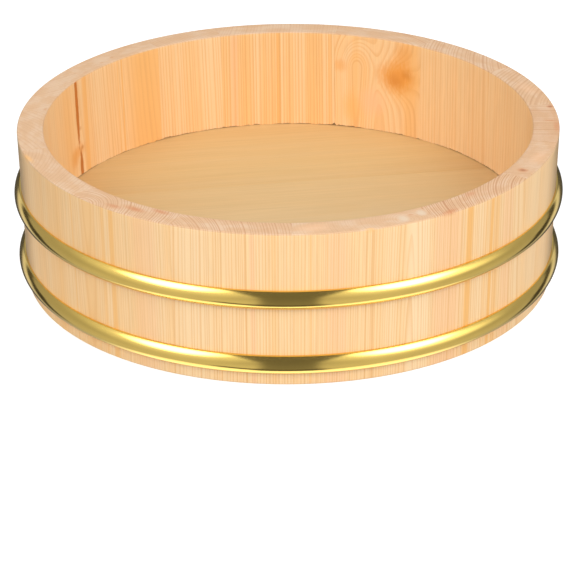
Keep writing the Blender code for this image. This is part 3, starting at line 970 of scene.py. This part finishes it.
class RICETUB_OT_hoops(bpy.types.Operator):
    """Drives the two brass hoops on."""
    bl_idname = "rice_tub.hoops"
    bl_label = "Add hoops"

    def execute(self, context):
        sizes = context.scene.rice_tub_sizes
        material = brass_material(context.scene.rice_tub_brass)
        for name in HOOP_NAMES:
            low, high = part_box(name)
            mesh = hoop_mesh(name + "_rolled", float(low[2] + high[2]) / 2.0, sizes)
            add_piece(name + "_rolled", mesh, name, material)
        return {"FINISHED"}


class RICETUB_OT_pins(bpy.types.Operator):
    """Gives the hidden bamboo pins their material."""
    bl_idname = "rice_tub.pins"
    bl_label = "Dress pins"

    def execute(self, context):
        look = context.scene.rice_tub_wood
        material, graph, shader = new_material("split_bamboo")
        fibre = graph.ramp(graph.noise(graph.place(), 900.0, 3.0, 0.6), 0.3, 0.7)
        graph.fill(shader, Base_Color=graph.mix(fibre, look.bamboo, look.bamboo_fibre), Roughness=0.6)
        for name in PIN_NAMES:
            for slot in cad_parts[name].material_slots:
                slot.material = material
        return {"FINISHED"}


def stage_object(name, points, faces, material):
    """An object of the stage, not of the tub."""
    mesh = bpy.data.meshes.new(name)
    mesh.from_pydata(points, [], faces)
    mesh.materials.append(material)
    thing = new_object(name, mesh)
    return thing


def floor_material(bounce):
    """Pale floor: white to the camera but for the tub's own shadow. To everything else it is plain and
    pale, and darker on both sides of the tub, where the table ends."""
    material, graph, _ = new_material("studio_floor")
    x = graph.parts(graph.place())["X"]
    near = graph.times(graph.ramp(x, -0.19, -0.34, 1.0, 0.4), graph.ramp(x, 0.19, 0.34, 1.0, 0.75))
    dim = graph.times(near, FLOOR_PAINT)
    lighting = graph.use("AddShader", graph.use("Emission", WHITE, graph.times(near, bounce)),
                         graph.use("BsdfDiffuse", graph.use("CombineColor", dim, dim, dim)))
    white = graph.use("AddShader", graph.use("BsdfDiffuse", (FLOOR_PAINT,) * 3),
                      graph.use("Emission", WHITE, FLOOR_GLOW))
    graph.surface(graph.use("MixShader", graph.seen(), lighting, white))
    return material


def tent_material():
    """What the brass reflects. Its light reaches only shiny surfaces. Directions are x across, y back and
    z up.
    - an even gold-grey room that dims from the front to the back, and a sheen low down on it
    - a long soft lamp in front of the tub on each side of the middle
    - a wide faint glow on the right
    - the lit backdrop behind the tub, with a dark stand before it and the dark room beyond
    - a white table below, behind the hoop's lower edge, with a dark front edge on the left
    - a dark slot in front, below and overhead, |x| small, where the camera and its boom stand"""
    material, graph, _ = new_material("studio_tent")
    x, y, z = graph.parts(graph.vector("NORMALIZE", graph.place()))
    aside = graph.math("ABSOLUTE", x)
    sheen = graph.times(graph.ramp(z, 0.1, -0.7, 0.0, 0.16), graph.ramp(y, 0.8, -0.1, 0.3, 1.0))
    level = graph.plus(graph.times_plus(y, -0.12, 0.48), sheen)

    off = graph.vector("SUBTRACT", graph.join(aside, y, z), LAMP_MIDDLE)
    along = graph.math("DIVIDE", graph.vector("DOT_PRODUCT", off, LAMP_ALONG), LAMP_HALF_LENGTH)
    across = graph.math("DIVIDE", graph.vector("DOT_PRODUCT", off, LAMP_ACROSS), LAMP_HALF_WIDTH)
    away = graph.math("SQRT", graph.plus(graph.times(along, along), graph.times(across, across)))
    lamp = graph.ramp(away, 1.2, 0.4, 0.0, LAMP_LEVEL)
    halo = graph.ramp(away, 2.4, 0.9, 0.0, HALO_LEVEL)
    off = graph.vector("LENGTH", graph.vector("SUBTRACT", graph.join(x, y, z), GLOW_MIDDLE))
    level = graph.plus(level, halo, lamp, graph.ramp(off, 0.62, 0.1, 0.0, GLOW_LEVEL))

    bend = graph.times(graph.math("MAXIMUM", graph.plus(z, 0.1), 0.0), 1.2)
    turn = graph.minus(graph.math("DIVIDE", y, graph.math("MAXIMUM", aside, 0.05)), bend)
    backdrop = graph.times(graph.ramp(turn, 0.75, 0.95), graph.within(z, -0.55, -0.3, 0.25, 0.5))
    level = graph.blend(level, backdrop, BACKDROP_LEVEL)
    band = graph.within(z, -0.7, -0.5, 0.25, 0.5)
    stand = graph.times(graph.within(turn, 0.43, 0.51, 0.74, 0.83), band)
    level = graph.blend(level, stand, STAND_LEVEL)
    level = graph.blend(level, graph.times(graph.ramp(turn, 1.05, 1.5), band), BEYOND_LEVEL)

    table = graph.times(graph.ramp(y, -0.48, -0.25), graph.ramp(z, -0.74, -0.9))
    level = graph.blend(level, table, TABLE_LEVEL)
    width = graph.plus(graph.times_plus(graph.math("MINIMUM", z, 0.0), 0.03, 0.21),
                       graph.ramp(z, 0.2, 0.9, 0.0, 0.06))
    clear = graph.minus(1.0, graph.times(graph.ramp(y, -0.36, -0.27), graph.ramp(z, -0.5, -0.7)))
    slot = graph.times(graph.ramp(graph.minus(aside, width), 0.03, -0.05), graph.ramp(y, 0.2, 0.05), clear)
    level = graph.blend(level, slot, graph.ramp(z, -0.9, 0.7, 0.24, 0.17))
    edge = graph.times(graph.within(y, -0.66, -0.56, -0.5, -0.42),
                       graph.within(x, -0.45, -0.33, 0.1, 0.25), graph.ramp(z, -0.5, -0.7))
    graph.surface(graph.use("Emission", WHITE, graph.blend(level, edge, EDGE_LEVEL)))
    return material


def world_background(sky):
    """White to the camera and to reflections. For everything else a soft sky, brightest overhead, with
    dark stands near the table on both sides, more on the left than on the right."""
    world = bpy.data.worlds.new("studio")
    bpy.context.scene.world = world
    world.use_nodes = True
    graph = Graph(world.node_tree)
    x, y, z = graph.parts(graph.node("TexCoord").outputs["Generated"])
    overhead = graph.times_plus(graph.math("MAXIMUM", z, 0.0), 0.55, 0.62)
    stands = graph.plus(graph.ramp(x, -0.4, -0.95, 0.0, 0.55), graph.ramp(x, 0.4, 0.95, 0.0, 0.1))
    kept = graph.minus(1.0, graph.times(graph.ramp(z, 0.42, 0.02), stands))
    strength = graph.blend(graph.times(overhead, kept, sky), graph.seen(), 1.0)
    graph.fill(world.node_tree.nodes["Background"], Color=WHITE, Strength=strength)


def soft_lamp(name, place, power):
    """A square soft lamp that looks at the tub. It isn't reflected: the tent draws the lamps."""
    lamp = bpy.data.lights.new(name, "AREA")
    lamp.shape = "SQUARE"
    lamp.size = BOX_SIZE
    lamp.energy = power
    holder = new_object(name, lamp)
    holder.location = place
    holder.rotation_euler = (-holder.location).to_track_quat("-Z", "Y").to_euler()
    holder.visible_glossy = False


class RICETUB_OT_stage(bpy.types.Operator):
    """Sets up the floor, the tent, the lamps and the camera."""
    bl_idname = "rice_tub.stage"
    bl_label = "Add studio"

    def execute(self, context):
        look = context.scene.rice_tub_studio
        corners = [(x * FLOOR_REACH, y * FLOOR_REACH, 0.0) for x, y in ((-1, -1), (1, -1), (1, 1), (-1, 1))]
        floor = stage_object("studio_floor", corners, [(0, 1, 2, 3)], floor_material(look.bounce))
        floor.location.z = -FLOOR_DROP
        floor.visible_glossy = False
        u = np.linspace(0.0, 2.0 * pi, TENT_COLUMNS, endpoint=False)
        v = np.linspace(-pi / 2.0 + 0.01, pi / 2.0 - 0.01, TENT_ROWS)
        u, v = np.meshgrid(u, v, indexing="ij")
        ball = TENT_RADIUS * np.stack([np.cos(v) * np.cos(u), np.cos(v) * np.sin(u), np.sin(v)], axis=-1)
        tent = stage_object("studio_tent", ball.reshape(-1, 3), loop_faces(*u.shape, wrap=False).tolist(),
                            tent_material())
        for ray in ("camera", "diffuse", "transmission", "shadow"):
            setattr(tent, "visible_" + ray, False)
        world_background(look.sky)
        across, back, up = BOX_PLACE
        soft_lamp("left_lamp", (-across, back, up), look.key)
        soft_lamp("right_lamp", BOX_PLACE, RIGHT_BOX * look.key)
        add_camera(look)
        return {"FINISHED"}


def add_camera(look):
    """The photograph's camera: it looks along (0, cos tilt, -sin tilt) and leans about that line."""
    camera = bpy.data.cameras.new("camera")
    camera.lens = look.lens
    camera.sensor_width = 36.0
    camera.clip_end = 100.0
    camera.shift_x, camera.shift_y = look.shift
    holder = new_object("camera", camera)
    holder.matrix_world = (Matrix.Translation((0.0, -look.camera_reach, look.camera_height))
                           @ Matrix.Rotation(pi / 2.0 - look.tilt, 4, "X")
                           @ Matrix.Rotation(-look.roll, 4, "Z"))
    bpy.context.scene.camera = holder


class RICETUB_PT_panel(bpy.types.Panel):
    """Lists the tub's sizes, colours and steps in the sidebar."""
    bl_label = "Rice tub"
    bl_idname = "RICETUB_PT_panel"
    bl_space_type = "VIEW_3D"
    bl_region_type = "UI"
    bl_category = "Rice tub"

    def draw(self, context):
        layout = self.layout
        for group in (getattr(context.scene, name) for name in SCENE_PROPERTIES):
            box = layout.box()
            for name in group.bl_rna.properties.keys():
                if name not in ("rna_type", "name"):
                    box.prop(group, name)
        for operator in STEPS:
            layout.operator(operator.bl_idname)


STEPS = (RICETUB_OT_staves, RICETUB_OT_floor, RICETUB_OT_hoops, RICETUB_OT_pins, RICETUB_OT_stage)
SCENE_PROPERTIES = {"rice_tub_sizes": TubSizes, "rice_tub_wood": WoodLook, "rice_tub_brass": BrassLook,
                    "rice_tub_studio": StudioLook}
CLASSES = (*SCENE_PROPERTIES.values(), *STEPS, RICETUB_PT_panel)


def register():
    """Adds the classes and the scene's properties."""
    for made in CLASSES:
        bpy.utils.register_class(made)
    for name, group in SCENE_PROPERTIES.items():
        setattr(bpy.types.Scene, name, PointerProperty(type=group))


def unregister():
    """Takes them away again."""
    for name in SCENE_PROPERTIES:
        delattr(bpy.types.Scene, name)
    for made in reversed(CLASSES):
        bpy.utils.unregister_class(made)


def main():
    """Runs every step in order."""
    register()
    bpy.context.scene.view_settings.view_transform = "Standard"
    bpy.ops.rice_tub.stage()
    bpy.ops.rice_tub.staves()
    bpy.ops.rice_tub.floor()
    bpy.ops.rice_tub.hoops()
    bpy.ops.rice_tub.pins()


if __name__ == "__main__":
    main()
